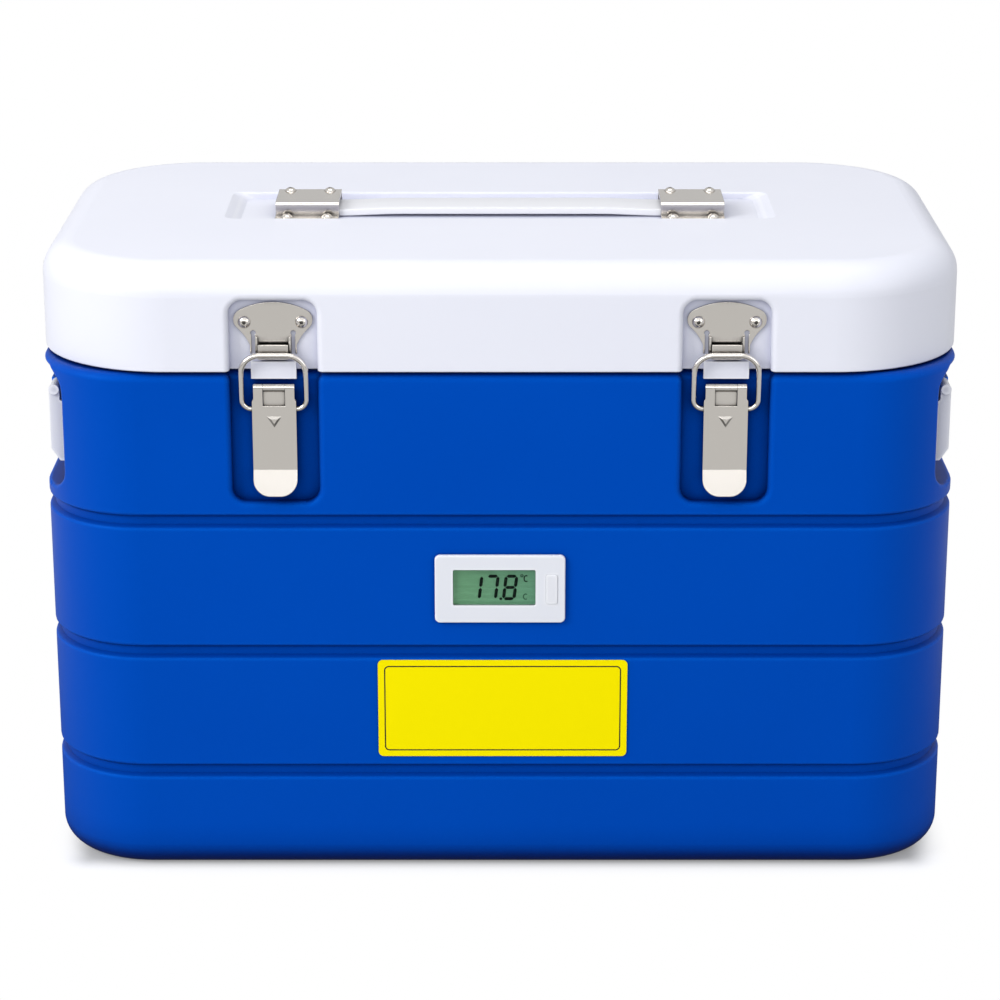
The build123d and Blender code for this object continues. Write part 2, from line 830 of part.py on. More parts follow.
def keeper(x):
    """The winged plate on the lid, with its ears and the hook for the loop."""
    boss_r = keeper_width / 2 - keeper_screw_x
    boss_z = keeper_wide_z
    slant = boss_r * cos(radians(45))
    low_turn = radians(22.5)
    # The top edge is one arch, which runs smoothly into the round of each ear.
    boss_drop = keeper_top_z - boss_z
    arch_r = (keeper_screw_x**2 + boss_drop**2 - boss_r**2) / (2 * (boss_drop - boss_r))
    arch_turn = atan2(keeper_screw_x, arch_r - boss_drop)
    arch = [
        (arch_r * sin(turn), keeper_top_z - arch_r * (1 - cos(turn)))
        for turn in (arch_turn / 2, arch_turn)
    ]
    ear_turn = (arch_turn + radians(90)) / 2
    neck_half = keeper_neck_width / 2
    plane = Plane(origin=(x, sheet_front, 0), x_dir=(1, 0, 0), z_dir=(0, -1, 0))
    hook_half = hook_width / 2
    slot_x = hook_half + 2 * fit_gap + sheet + hook_slot_width / 2
    slot_top_z = ear_low_z + hook_slot_height
    with BuildPart() as plate:
        with BuildSketch(plane) as outline:
            with BuildLine():
                Line((0, ear_low_z), (0, keeper_top_z))
                ThreePointArc((0, keeper_top_z), *arch)
                ThreePointArc(
                    arch[-1],
                    (keeper_screw_x + boss_r * sin(ear_turn), boss_z + boss_r * cos(ear_turn)),
                    (keeper_screw_x + boss_r, boss_z),
                )
                ThreePointArc(
                    (keeper_screw_x + boss_r, boss_z),
                    (keeper_screw_x + boss_r * cos(low_turn), boss_z - boss_r * sin(low_turn)),
                    (keeper_screw_x + slant, boss_z - slant),
                )
                ThreePointArc(
                    (keeper_screw_x + slant, boss_z - slant),
                    (neck_half + neck_flare_x, keeper_neck_z + neck_flare_z),
                    (neck_half, keeper_neck_z),
                )
                Polyline((neck_half, keeper_neck_z), (neck_half, ear_low_z), (0, ear_low_z))
            make_face()
            mirror(about=Plane.YZ)
            for end in (-1, 1):
                with Locations((end * slot_x, (ear_low_z - over + slot_top_z) / 2)):
                    Rectangle(hook_slot_width, hook_slot_height + over, mode=Mode.SUBTRACT)
                with Locations((end * slot_x, slot_top_z)):
                    Circle(hook_slot_end_r, mode=Mode.SUBTRACT)
                with Locations((end * keeper_screw_x, keeper_screw_z)):
                    Circle(screw_hole_r, mode=Mode.SUBTRACT)
        extrude(outline.sketch, amount=-sheet)
        with BuildSketch(Plane.YZ.offset(x - hook_half)) as hook:
            with BuildLine():
                Polyline(
                    (pocket_floor, ear_low_z + hook_root),
                    (pocket_floor, hook_low_z),
                    (lip_front, hook_low_z),
                    (lip_front, hook_lip_z),
                    (lip_front + sheet, hook_lip_z),
                    (lip_front + sheet, hook_low_z + sheet),
                    (sheet_front, hook_low_z + sheet),
                    (sheet_front, ear_low_z + hook_root),
                    close=True,
                )
            make_face()
            fillet(hook.vertices().group_by(Axis.Y)[0], hook_bend_r)
        extrude(hook.sketch, amount=hook_width)
        for end in (-1, 1):
            ear_in = hook_half + fit_gap
            ear_x = sorted((x + end * ear_in, x + end * (ear_in + sheet)))
            ear_y = (sheet_front - hook_gap + ear_back, sheet_front)
            cuboid(ear_x, ear_y, (ear_low_z, ear_low_z + ear_height))
    return plate.part


for name, side in sides.items():
    centre = side * latch_x
    save(latch_base(centre), f"latch_base_{name}")
    save(latch_lever(centre), f"latch_lever_{name}")
    save(latch_loop(centre), f"latch_loop_{name}")
    save(keeper(centre), f"keeper_{name}")

with BuildPart() as latch_pins:
    for side in sides.values():
        start = (side * latch_x - lever_top_half, pin_y, lever_pin_z)
        rod(start, (1, 0, 0), pin_r, lever_top_width)
save(latch_pins.part, "latch_pins")

with BuildPart() as latch_base_screws:
    for side in sides.values():
        for height in base_screw_heights:
            add(screw_at(plate_screw, (side * latch_x, sheet_front, height), (0, -1, 0)))
save(latch_base_screws.part, "latch_base_screws")

with BuildPart() as keeper_screws:
    for side in sides.values():
        for end in (-1, 1):
            seat = (side * latch_x + end * keeper_screw_x, sheet_front, keeper_screw_z)
            add(screw_at(plate_screw, seat, (0, -1, 0)))
save(keeper_screws.part, "keeper_screws")

# ---------------------------------------------------------------- side handles
handle_back_x = body_side - handle_back_inset
handle_front_x = body_side - handle_front_inset

with BuildPart() as handle_right:
    with BuildSketch(Plane.XZ.offset(-handle_half)) as arm_section:
        with BuildLine():
            Polyline(
                (handle_back_x, handle_low_z),
                (handle_front_x - handle_bevel, handle_low_z),
                (handle_front_x, handle_low_z + 1.5 * handle_bevel),
                (handle_front_x, arm_step_z),
                (pivot_x + arm_half, arm_step_z + arm_step_rise),
                (pivot_x + arm_half, handle_pivot_z),
                (pivot_x - arm_half, handle_pivot_z),
                (pivot_x - arm_half, arm_step_z + arm_step_rise),
                (handle_back_x, arm_step_z),
                close=True,
            )
        make_face()
        corners = arm_section.vertices().group_by(Axis.Y)
        fillet(corners[0] + corners[1] + corners[2], handle_edge_r)
        with Locations((pivot_x, handle_pivot_z)):
            Circle(arm_half)
    extrude(arm_section.sketch, amount=handle_length)
    gap_y = (-handle_half + handle_arm, handle_half - handle_arm)
    gap_x = (handle_back_x - over, handle_front_x + over)
    cuboid(gap_x, gap_y, (grip_top_z, handle_pivot_z + arm_half + over), Mode.SUBTRACT)
    band = (grip_top_z - pin_gap, grip_top_z + pin_gap)
    grip_top = handle_right.edges().filter_by(Axis.Y).filter_by_position(Axis.Z, *band)
    fillet(grip_top, handle_edge_r)
    bore = (pivot_x, -handle_half - over, handle_pivot_z)
    rod(bore, (0, 1, 0), handle_pin_r + pin_gap, handle_length + 2 * over, Mode.SUBTRACT)

with BuildPart() as handle_left:
    add(handle_right.part.mirror(Plane.YZ))
save(handle_right.part, "side_handle_right")
save(handle_left.part, "side_handle_left")

with BuildPart() as side_handle_pins:
    for side in sides.values():
        for end in (-1, 1):
            head_start = (side * pivot_x, end * (handle_half + fit_gap / 3), handle_pivot_z)
            rod(head_start, (0, end, 0), arm_half, handle_pin_head)
            shank = handle_half + fit_gap / 3 - lug_inner
            rod(head_start, (0, -end, 0), handle_pin_r, shank)
save(side_handle_pins.part, "side_handle_pins")

# ---------------------------------------------------------------- hinges
leaf_half = leaf_width / 2
centre_half = hinge_centre_width / 2
swing_gap = hinge_knuckle_r + fit_gap
leaf_screw = domed_screw(leaf_thick + wall)


def knuckle(x_low, x_high):
    """One hinge knuckle between two places along X, with its bore."""
    rod((x_low, hinge_y, hinge_z), (1, 0, 0), hinge_knuckle_r, x_high - x_low)
    bore = (x_low - over, hinge_y, hinge_z)
    rod(bore, (1, 0, 0), hinge_pin_r + pin_gap, x_high - x_low + 2 * over, Mode.SUBTRACT)


def leaf_holes(x, height):
    """The two screw holes of a hinge leaf."""
    for end in (-1, 1):
        hole = (x + end * hinge_screw_x, body_back - over, height)
        rod(hole, (0, 1, 0), screw_hole_r, lid_back - body_back + leaf_thick + 2 * over, Mode.SUBTRACT)


for name, side in sides.items():
    centre = side * hinge_x
    with BuildPart() as body_leaf:
        leaf_y = (body_back, body_back + leaf_thick)
        cuboid((centre - leaf_half, centre + leaf_half), leaf_y, (hinge_z - leaf_height, hinge_z - swing_gap))
        for end in (-1, 1):
            span = sorted((centre + end * (centre_half + fit_gap), centre + end * leaf_half))
            cuboid(span, leaf_y, (hinge_z - leaf_height, hinge_z))
            knuckle(*span)
        leaf_holes(centre, hinge_z - hinge_screw_drop)
    save(body_leaf.part, f"body_hinge_leaf_{name}")
    with BuildPart() as lid_leaf:
        leaf_y = (lid_back, lid_back + leaf_thick)
        cuboid((centre - leaf_half, centre + leaf_half), leaf_y, (hinge_z + swing_gap, hinge_z + leaf_height))
        cuboid((centre - centre_half, centre + centre_half), leaf_y, (hinge_z, hinge_z + leaf_height))
        knuckle(centre - centre_half, centre + centre_half)
        leaf_holes(centre, hinge_z + hinge_screw_drop)
    save(lid_leaf.part, f"lid_hinge_leaf_{name}")

with BuildPart() as hinge_pins:
    for side in sides.values():
        rod((side * hinge_x - leaf_half, hinge_y, hinge_z), (1, 0, 0), hinge_pin_r, leaf_width)
save(hinge_pins.part, "hinge_pins")


def leaf_screws(height, seat_y):
    """The four screws of both hinges on one side of the seam."""
    with BuildPart() as screws:
        for side in sides.values():
            for end in (-1, 1):
                seat = (side * hinge_x + end * hinge_screw_x, seat_y, height)
                add(screw_at(leaf_screw, seat, (0, 1, 0)))
    return screws.part


save(leaf_screws(hinge_z - hinge_screw_drop, body_back + leaf_thick), "body_hinge_screws")
save(leaf_screws(hinge_z + hinge_screw_drop, lid_back + leaf_thick), "lid_hinge_screws")

# ---------------------------------------------------------------- lid
plug_low = lid_low_z - plug_drop
plug_inset = cavity_inset + plug_gap
panel_screw_spots = GridLocations(panel_screw_step_x, panel_screw_step_y, 3, 2).locations
panel_screw = domed_screw(panel_screw_length)
bracket_top_z = lid_top_z + bracket_rise
lid_pocket_low = lid_low_z - pocket_corner_r - over
flange_screw_y = bracket_front_y - flange_reach / 2
flange_screw = domed_screw(bracket_thick + wall)
top_screw = domed_screw(bracket_top_z - well_floor_z + wall)


def panel_posts(radius, low, high, mode):
    """A round post at every inner panel screw."""
    for spot in panel_screw_spots:
        rod((spot.position.X, spot.position.Y, low), (0, 0, 1), radius, high - low, mode)


def lid_space(inset):
    """The hollow inside the lid, less everything that is let into it."""
    grow = inset - wall
    form = lid_form(inset)
    with BuildPart() as space:
        add(form)
        for side in sides.values():
            latch_pocket(side * latch_x, lid_pocket_low, lid_pocket_top + inset, inset, Mode.SUBTRACT)
        prism(
            well_width - 2 * well_slope + 2 * inset,
            well_depth + 2 * inset,
            well_corner_r + inset,
            well_floor_z - inset,
            lid_top_z,
            Mode.SUBTRACT,
            (0, well_centre_y),
        )
        panel_posts(panel_boss_r + grow, lid_low_z - over, lid_top_z, Mode.SUBTRACT)
    return space.part


def handle_well():
    """The shallow well round the carrying handle."""
    slope_rate = well_slope / well_drop
    with BuildPart() as well:
        for height, spread in ((lid_top_z + over, slope_rate * over), (well_floor_z, -well_slope)):
            with BuildSketch(Plane.XY.offset(height)):
                with Locations((0, well_centre_y)):
                    RectangleRounded(well_width + 2 * spread, well_depth + well_draft * spread, well_corner_r)
        loft()
    return well.part


lid_outer = lid_form(0)
lid_void = lid_space(wall)
lid_stuffing = lid_space(wall + foam_gap)
well = handle_well()

def in_well_mouth(edge):
    """Whether an edge lies round the mouth of the handle's well."""
    middle = edge.center()
    in_x = abs(middle.X) < well_width / 2 + fit_gap
    in_y = abs(middle.Y - well_centre_y) < well_depth / 2 + fit_gap
    return in_x and in_y and abs(middle.Z - lid_top_z) < pin_gap


with BuildPart() as lid_shell:
    add(lid_outer)
    add(well, mode=Mode.SUBTRACT)
    fillet(lid_shell.edges().filter_by(in_well_mouth), well_edge_r)
    add(lid_void, mode=Mode.SUBTRACT)
    prism(
        lid_width - 2 * wall,
        lid_depth - 2 * wall,
        lid_corner_r - wall,
        lid_low_z - over,
        lid_low_z + panel_thick,
        Mode.SUBTRACT,
    )
    for side in sides.values():
        boss_x = (side * latch_x - pocket_width / 2 - wall, side * latch_x + pocket_width / 2 + wall)
        boss_z = (lid_low_z, lid_low_z + panel_thick + over)
        cuboid(boss_x, (lid_front + over, pocket_floor + wall), boss_z)
        latch_pocket(side * latch_x, lid_pocket_low, lid_pocket_top, 0, Mode.SUBTRACT)
    mouth_reach = latch_x + pocket_width / 2 + fit_gap
    mouths = lid_shell.faces().sort_by(Axis.Y)[0].edges()
    mouths = mouths.filter_by_position(Axis.Z, lid_low_z + fit_gap, lid_pocket_top + fit_gap)
    fillet(mouths.filter_by_position(Axis.X, -mouth_reach, mouth_reach), pocket_mouth_r)
    fillet(lid_shell.faces().sort_by(Axis.Z)[0].outer_wire().edges(), lid_lip_r)
    panel_posts(panel_boss_r, plug_low + plug_wall, lid_low_z + panel_thick + over, Mode.ADD)
    for side in sides.values():
        centre = side * latch_x
        tab_x = (centre - tab_width / 2, centre + tab_width / 2)
        tab_y = (lid_front + tab_front, pocket_floor - fit_gap)
        cuboid(tab_x, tab_y, (tab_low_z, tab_top_z))
        cuboid(tab_x, (tab_y[0], pocket_floor + over), (lid_low_z, tab_top_z))
        for end in (-1, 1):
            hole = (centre + end * keeper_screw_x, pocket_floor - over, keeper_screw_z)
            rod(hole, (0, 1, 0), screw_hole_r, hole_length, Mode.SUBTRACT)
            hole_x = side * hinge_x + end * hinge_screw_x
            hole = (hole_x, lid_back + over, hinge_z + hinge_screw_drop)
            rod(hole, (0, -1, 0), screw_hole_r, hole_length, Mode.SUBTRACT)
            for screw_y in (flange_screw_y, bracket_rear_screw_y):
                hole = (side * bracket_x + end * bracket_screw_x, screw_y, well_floor_z + over)
                rod(hole, (0, 0, -1), screw_hole_r, hole_length, Mode.SUBTRACT)
    panel_posts(screw_hole_r, plug_low, plug_low + panel_screw_length + over, Mode.SUBTRACT)
save(lid_shell.part, "lid_shell")

with BuildPart() as lid_inner_panel:
    prism(
        lid_width - 2 * wall - 2 * fit_gap,
        lid_depth - 2 * wall - 2 * fit_gap,
        lid_corner_r - wall - fit_gap,
        lid_low_z,
        lid_low_z + panel_thick,
    )
    for side in sides.values():
        gap_x = (
            side * latch_x - pocket_width / 2 - wall - fit_gap,
            side * latch_x + pocket_width / 2 + wall + fit_gap,
        )
        panel_cut = (lid_front, pocket_floor + wall + fit_gap)
        cuboid(gap_x, panel_cut, (lid_low_z - over, lid_low_z + panel_thick + over), Mode.SUBTRACT)
    plug_width = body_width - 2 * plug_inset
    plug_depth = body_depth - 2 * plug_inset
    plug_corner = liner_corner_r - liner_wall - plug_gap
    prism(plug_width, plug_depth, plug_corner, plug_low, lid_low_z + panel_thick)
    fillet(lid_inner_panel.faces().sort_by(Axis.Z)[0].edges(), plug_edge_r)
    prism(
        plug_width - 2 * plug_wall,
        plug_depth - 2 * plug_wall,
        plug_corner - plug_wall,
        plug_low + plug_wall,
        lid_low_z + panel_thick + over,
        Mode.SUBTRACT,
    )
    panel_posts(screw_hole_r, plug_low - over, plug_low + plug_wall + over, Mode.SUBTRACT)
    gasket_outer = (body_width - 2 * gasket_inset, body_depth - 2 * gasket_inset)
    gasket_inner = (gasket_outer[0] - 2 * gasket_width, gasket_outer[1] - 2 * gasket_width)
    gasket_r = body_corner_r - gasket_inset
    with BuildSketch(Plane.XY.offset(lid_low_z)) as seat:
        RectangleRounded(gasket_outer[0] + fit_gap, gasket_outer[1] + fit_gap, gasket_r)
        inner_seat = (gasket_inner[0] - fit_gap, gasket_inner[1] - fit_gap)
        RectangleRounded(*inner_seat, gasket_r - gasket_width, mode=Mode.SUBTRACT)
    extrude(seat.sketch, amount=gasket_seat, mode=Mode.SUBTRACT)
save(lid_inner_panel.part, "lid_inner_panel")

with BuildPart() as lid_gasket:
    with BuildSketch(Plane.XY.offset(body_height + gasket_gap)):
        RectangleRounded(*gasket_outer, gasket_r)
        RectangleRounded(*gasket_inner, gasket_r - gasket_width, mode=Mode.SUBTRACT)
    extrude(amount=seam_gap + gasket_seat - gasket_gap)
save(lid_gasket.part, "lid_gasket")

with BuildPart() as lid_foam:
    add(lid_stuffing)
    low_band = (lid_low_z - over, lid_low_z + panel_thick + foam_gap)
    prism(lid_width, lid_depth, lid_corner_r, *low_band, Mode.SUBTRACT)
    prism(
        plug_width - 2 * plug_wall - 2 * foam_gap,
        plug_depth - 2 * plug_wall - 2 * foam_gap,
        plug_corner - plug_wall,
        plug_low + plug_wall + foam_gap,
        low_band[1] + over,
    )
    panel_posts(panel_boss_r + foam_gap, plug_low, low_band[1] + 2 * over, Mode.SUBTRACT)
save(lid_foam.part, "lid_foam")

with BuildPart() as lid_panel_screws:
    for spot in panel_screw_spots:
        add(screw_at(panel_screw, (spot.position.X, spot.position.Y, plug_low), (0, 0, -1)))
save(lid_panel_screws.part, "lid_panel_screws")

# ---------------------------------------------------------------- carrying handle
strap_low = well_floor_z + strap_gap
strap_top = strap_low + strap_thick
bracket_inner_x = bracket_x - bracket_width / 2

for name, side in sides.items():
    centre = side * bracket_x
    with BuildPart() as bracket:
        bar(
            (centre - bracket_width / 2, centre + bracket_width / 2),
            (
                (bracket_front_y - flange_reach, well_floor_z),
                (bracket_front_y - flange_reach, well_floor_z + bracket_thick),
                (bracket_front_y, well_floor_z + bracket_thick),
                (bracket_front_y, bracket_top_z),
                (bracket_back_y, bracket_top_z),
                (bracket_back_y, well_floor_z),
                (bracket_back_y - bracket_thick, well_floor_z),
                (bracket_back_y - bracket_thick, bracket_top_z - bracket_thick),
                (bracket_front_y + bracket_thick, bracket_top_z - bracket_thick),
                (bracket_front_y + bracket_thick, well_floor_z),
            ),
        )
        fillet(bracket.edges().filter_by(Axis.X).group_by(Axis.Z)[-1], bracket_bend_r)
        for end in (-1, 1):
            for screw_y in (flange_screw_y, bracket_rear_screw_y):
                hole = (centre + end * bracket_screw_x, screw_y, well_floor_z - over)
                rod(hole, (0, 0, 1), screw_hole_r, bracket_rise + well_drop + 2 * over, Mode.SUBTRACT)
    save(bracket.part, f"handle_bracket_{name}")

with BuildPart() as bracket_screws:
    for side in sides.values():
        for end in (-1, 1):
            x = side * bracket_x + end * bracket_screw_x
            add(screw_at(flange_screw, (x, flange_screw_y, well_floor_z + bracket_thick), (0, 0, 1)))
            add(screw_at(top_screw, (x, bracket_rear_screw_y, bracket_top_z), (0, 0, 1)))
save(bracket_screws.part, "bracket_screws")

with BuildPart() as strap_grip:
    grip_z = (strap_low + strap_arch, strap_top + strap_arch)
    cuboid((-grip_half, grip_half), (strap_front_y, strap_back_y), grip_z)
    fillet(strap_grip.edges().filter_by(Axis.X), strap_edge_r)
save(strap_grip.part, "strap_grip")

for name, side in sides.items():
    with BuildPart() as strap_end:
        with BuildSketch(Plane.XZ.offset(-strap_back_y)) as ramp:
            with BuildLine():
                Polyline(
                    (side * strap_half, strap_low),
                    (side * bracket_inner_x, strap_low),
                    (side * grip_half, strap_low + strap_arch),
                    (side * grip_half, strap_top + strap_arch),
                    (side * bracket_inner_x, strap_top),
                    (side * strap_half, strap_top),
                    close=True,
                )
            make_face()
        extrude(ramp.sketch, amount=strap_back_y - strap_front_y)
    save(strap_end.part, f"strap_end_{name}")
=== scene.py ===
"""Looks for the specimen transport box: materials, small modelled pieces, light and camera.

Everything is in metres in the box's own frame: +Z up, the front towards -Y.
"""

import json
import math

import bpy
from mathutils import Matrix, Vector


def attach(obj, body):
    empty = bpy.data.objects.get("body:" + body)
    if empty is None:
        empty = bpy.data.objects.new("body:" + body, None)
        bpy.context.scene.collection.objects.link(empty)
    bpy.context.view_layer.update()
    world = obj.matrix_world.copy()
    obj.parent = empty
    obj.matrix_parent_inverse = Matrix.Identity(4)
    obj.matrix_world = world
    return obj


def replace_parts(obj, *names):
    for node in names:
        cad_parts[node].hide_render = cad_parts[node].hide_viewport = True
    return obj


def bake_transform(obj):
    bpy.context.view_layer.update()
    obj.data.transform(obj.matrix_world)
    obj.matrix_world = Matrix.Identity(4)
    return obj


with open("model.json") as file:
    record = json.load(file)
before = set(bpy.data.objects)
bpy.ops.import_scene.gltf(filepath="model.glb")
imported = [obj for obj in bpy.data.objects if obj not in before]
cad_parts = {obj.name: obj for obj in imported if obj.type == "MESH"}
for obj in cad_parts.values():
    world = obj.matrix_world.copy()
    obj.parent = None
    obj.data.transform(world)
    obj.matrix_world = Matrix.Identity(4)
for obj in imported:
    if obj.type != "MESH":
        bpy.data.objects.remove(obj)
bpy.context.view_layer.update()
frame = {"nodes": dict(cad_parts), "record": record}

MM = 0.001

# Faces that printed marks lie on, in millimetres.
LCD_FACE_Y = -149.7
LABEL_FACE_Y = -150.1

# The display: its left and right sides and its polariser's grain, in millimetres.
LCD_LEFT, LCD_RIGHT = -27.0, 20.4
POLARISER_GRAIN = 0.5
LCD_ROUGHNESS = 0.35

# Finishes, in millimetres: how wide the painted highlight on an outer edge is, how deep a gap in the metal
# has to be for its painted shade, how deep its rolling grain is, and how far apart the pigment's clouds and
# the handling marks lie.
EDGE_HIGHLIGHT_WIDTH = 1.8
METAL_REACH = 6
GRAIN_DEPTH = 0.004
CLOUD_SPACING = 120
MARK_SPACING = 25


# ------------------------------------------------------------------ small tools
def linear(hex_colour):
    """An sRGB hex colour as linear RGBA."""
    parts = [int(hex_colour[i : i + 2], 16) / 255 for i in (1, 3, 5)]
    return [c / 12.92 if c <= 0.04045 else ((c + 0.055) / 1.055) ** 2.4 for c in parts] + [1.0]


def add_node(material, kind, links=None, **settings):
    """Adds one shader node, with its properties, socket values and links."""
    node = material.node_tree.nodes.new(kind)
    for key, value in settings.items():
        if hasattr(node, key):
            setattr(node, key, value)
        else:
            node.inputs[key.replace("_", " ")].default_value = value
    for socket, source in (links or {}).items():
        material.node_tree.links.new(source, node.inputs[socket])
    return node


def new_material(name, colour, roughness, metallic=0.0, **sockets):
    """A principled material with its plain values set on the shader's own sockets."""
    material = bpy.data.materials.new(name)
    material.use_nodes = True
    shader = material.node_tree.nodes["Principled BSDF"]
    shader.inputs["Base Color"].default_value = linear(colour)
    shader.inputs["Roughness"].default_value = roughness
    shader.inputs["Metallic"].default_value = metallic
    for key, value in sockets.items():
        shader.inputs[key.replace("_", " ")].default_value = value
    return material, shader


def join(material, output, target):
    material.node_tree.links.new(output, target)


def place(material):
    """Object coordinates, which are the box's own metres on every piece."""
    return add_node(material, "ShaderNodeTexCoord").outputs["Object"]


def fresh():
    """Leaves edit mode and selects nothing."""
    if bpy.context.mode != "OBJECT":
        bpy.ops.object.mode_set(mode="OBJECT")
    bpy.ops.object.select_all(action="DESELECT")


def settle(piece, name, angle=35):
    """Applies the piece's place to its mesh, names it and shades it smooth by angle."""
    fresh()
    piece.select_set(True)
    bpy.context.view_layer.objects.active = piece
    bpy.ops.object.transform_apply(location=True, rotation=True, scale=True)
    bpy.ops.object.shade_smooth_by_angle(angle=math.radians(angle))
    piece.name = name
    piece.data.name = name
    return piece


# ------------------------------------------------------------------ materials
def moulded_plastic(
    name, colour, shade, deep, edge_highlight_colour, roughness, edge_mm, reach_mm, peel_mm, peel_high_mm, **sockets
):
    """Moulded shell plastic: faint cloudiness, painted shade in recesses, a painted highlight on outer edges,
    orange peel and soft edges.

    shade is its colour in the clouds, deep the painted shade in recesses, and the last colour the painted
    highlight on outer edges; edge_mm rounds the edges, reach_mm is how deep a recess has to be for its
    painted shade, and peel_mm spaces the orange peel.
    """
    material, shader = new_material(name, colour, roughness, IOR=1.49, **sockets)
    where = place(material)
    # Slow cloudiness in the pigment.
    cloud = add_node(
        material, "ShaderNodeTexNoise", {"Vector": where}, Scale=1 / (CLOUD_SPACING * MM), Detail=3.0
    )
    tint = add_node(
        material,
        "ShaderNodeMix",
        {"Factor": cloud.outputs["Fac"]},
        data_type="RGBA",
        A=linear(colour),
        B=linear(shade),
    )
    # Painted shade makes recesses and corners a deeper colour.
    painted_shade_ao = add_node(material, "ShaderNodeAmbientOcclusion", samples=6, Distance=reach_mm * MM)
    painted_shade_mask = add_node(
        material, "ShaderNodeMapRange", {"Value": painted_shade_ao.outputs["AO"]}, From_Min=0.4, From_Max=0.94
    )
    body = add_node(
        material,
        "ShaderNodeMix",
        {"Factor": painted_shade_mask.outputs["Result"], "B": tint.outputs["Result"]},
        data_type="RGBA",
        A=linear(deep),
    )
    # A painted highlight lightens outer edges: under them, looking inwards soon meets another face.
    inwards = add_node(
        material, "ShaderNodeAmbientOcclusion", samples=4, inside=True, Distance=EDGE_HIGHLIGHT_WIDTH * MM
    )
    painted_edge_highlight = add_node(
        material,
        "ShaderNodeMapRange",
        {"Value": inwards.outputs["AO"]},
        From_Min=0.55,
        From_Max=0.98,
        To_Min=0.85,
        To_Max=0.0,
    )
    skin = add_node(
        material,
        "ShaderNodeMix",
        {"Factor": painted_edge_highlight.outputs["Result"], "A": body.outputs["Result"]},
        data_type="RGBA",
        B=linear(edge_highlight_colour),
    )
    join(material, skin.outputs["Result"], shader.inputs["Base Color"])
    # Handling marks change the gloss a little.
    marks = add_node(
        material, "ShaderNodeTexNoise", {"Vector": where}, Scale=1 / (MARK_SPACING * MM), Detail=5.0
    )
    gloss = add_node(
        material,
        "ShaderNodeMapRange",
        {"Value": marks.outputs["Fac"]},
        To_Min=roughness - 0.05,
        To_Max=roughness + 0.06,
    )
    join(material, gloss.outputs["Result"], shader.inputs["Roughness"])
    # Orange peel from the mould.
    peel = add_node(material, "ShaderNodeTexNoise", {"Vector": where}, Scale=1 / (peel_mm * MM), Detail=2.0)
    soft = add_node(material, "ShaderNodeBevel", samples=6, Radius=edge_mm * MM)
    bump = add_node(
        material,
        "ShaderNodeBump",
        {"Height": peel.outputs["Fac"], "Normal": soft.outputs["Normal"]},
        Distance=peel_high_mm * MM,
        Strength=0.5,
    )
    join(material, bump.outputs["Normal"], shader.inputs["Normal"])
    return material


def polished_metal(name, colour, roughness, edge_mm, grain_mm):
    """Pressed stainless steel, tumbled bright: fine rolling grain, rounded-off edges and painted shade in its
    gaps.
    """
    material, shader = new_material(name, colour, roughness, metallic=1.0)
    where = place(material)
    # Rolling grain runs up and down, drawn coarser than the real thing so that it shows.
    stretch = add_node(material, "ShaderNodeMapping", {"Vector": where}, Scale=(1.0, 1.0, 0.04))
    grain = add_node(
        material,
        "ShaderNodeTexNoise",
        {"Vector": stretch.outputs["Vector"]},
        Scale=1 / (grain_mm * MM),
        Detail=3.0,
    )
    gloss = add_node(
        material,
        "ShaderNodeMapRange",
        {"Value": grain.outputs["Fac"]},
        To_Min=roughness - 0.05,
        To_Max=roughness + 0.07,
    )
    join(material, gloss.outputs["Result"], shader.inputs["Roughness"])
    # Painted shade darkens the gaps and feet of the pressings.
    painted_shade_ao = add_node(material, "ShaderNodeAmbientOcclusion", samples=8, Distance=METAL_REACH * MM)
    painted_shade_mask = add_node(
        material, "ShaderNodeMapRange", {"Value": painted_shade_ao.outputs["AO"]}, From_Min=0.35, From_Max=0.85
    )
    skin = add_node(
        material,
        "ShaderNodeMix",
        {"Factor": painted_shade_mask.outputs["Result"]},
        data_type="RGBA",
        A=linear("#2E2B29"),
        B=linear(colour),
    )
    join(material, skin.outputs["Result"], shader.inputs["Base Color"])
    soft = add_node(material, "ShaderNodeBevel", samples=8, Radius=edge_mm * MM)
    bump = add_node(
        material,
        "ShaderNodeBump",
        {"Height": grain.outputs["Fac"], "Normal": soft.outputs["Normal"]},
        Distance=GRAIN_DEPTH * MM,
        Strength=0.4,
    )
    join(material, bump.outputs["Normal"], shader.inputs["Normal"])
    return material


def plain_moulding(name, colour, roughness, grit_mm, depth_mm, **sockets):
    """A small moulding or film with a fine surface grit."""
    material, shader = new_material(name, colour, roughness, **sockets)
    grit = add_node(
        material, "ShaderNodeTexNoise", {"Vector": place(material)}, Scale=1 / (grit_mm * MM), Detail=3.0
    )
    bump = add_node(
        material, "ShaderNodeBump", {"Height": grit.outputs["Fac"]}, Distance=depth_mm * MM, Strength=0.5
    )
    join(material, bump.outputs["Normal"], shader.inputs["Normal"])
    gloss = add_node(
        material,
        "ShaderNodeMapRange",
        {"Value": grit.outputs["Fac"]},
        To_Min=roughness - 0.03,
        To_Max=roughness + 0.04,
    )
    join(material, gloss.outputs["Result"], shader.inputs["Roughness"])
    return material


# Blow-moulded polyethylene: a deep satin blue, with a painted highlight on its edges and painted shade in its
# pockets.
blue_shell = moulded_plastic(
    "blow_moulded_polyethylene_blue",
    colour="#004BB9",
    shade="#0046B1",
    deep="#001E68",
    edge_highlight_colour="#0A74EC",
    roughness=0.42,
    edge_mm=0.8,
    reach_mm=30,
    peel_mm=1.6,
    peel_high_mm=0.02,
    Specular_IOR_Level=0.2,
    Specular_Tint=linear("#00A0FF"),
)
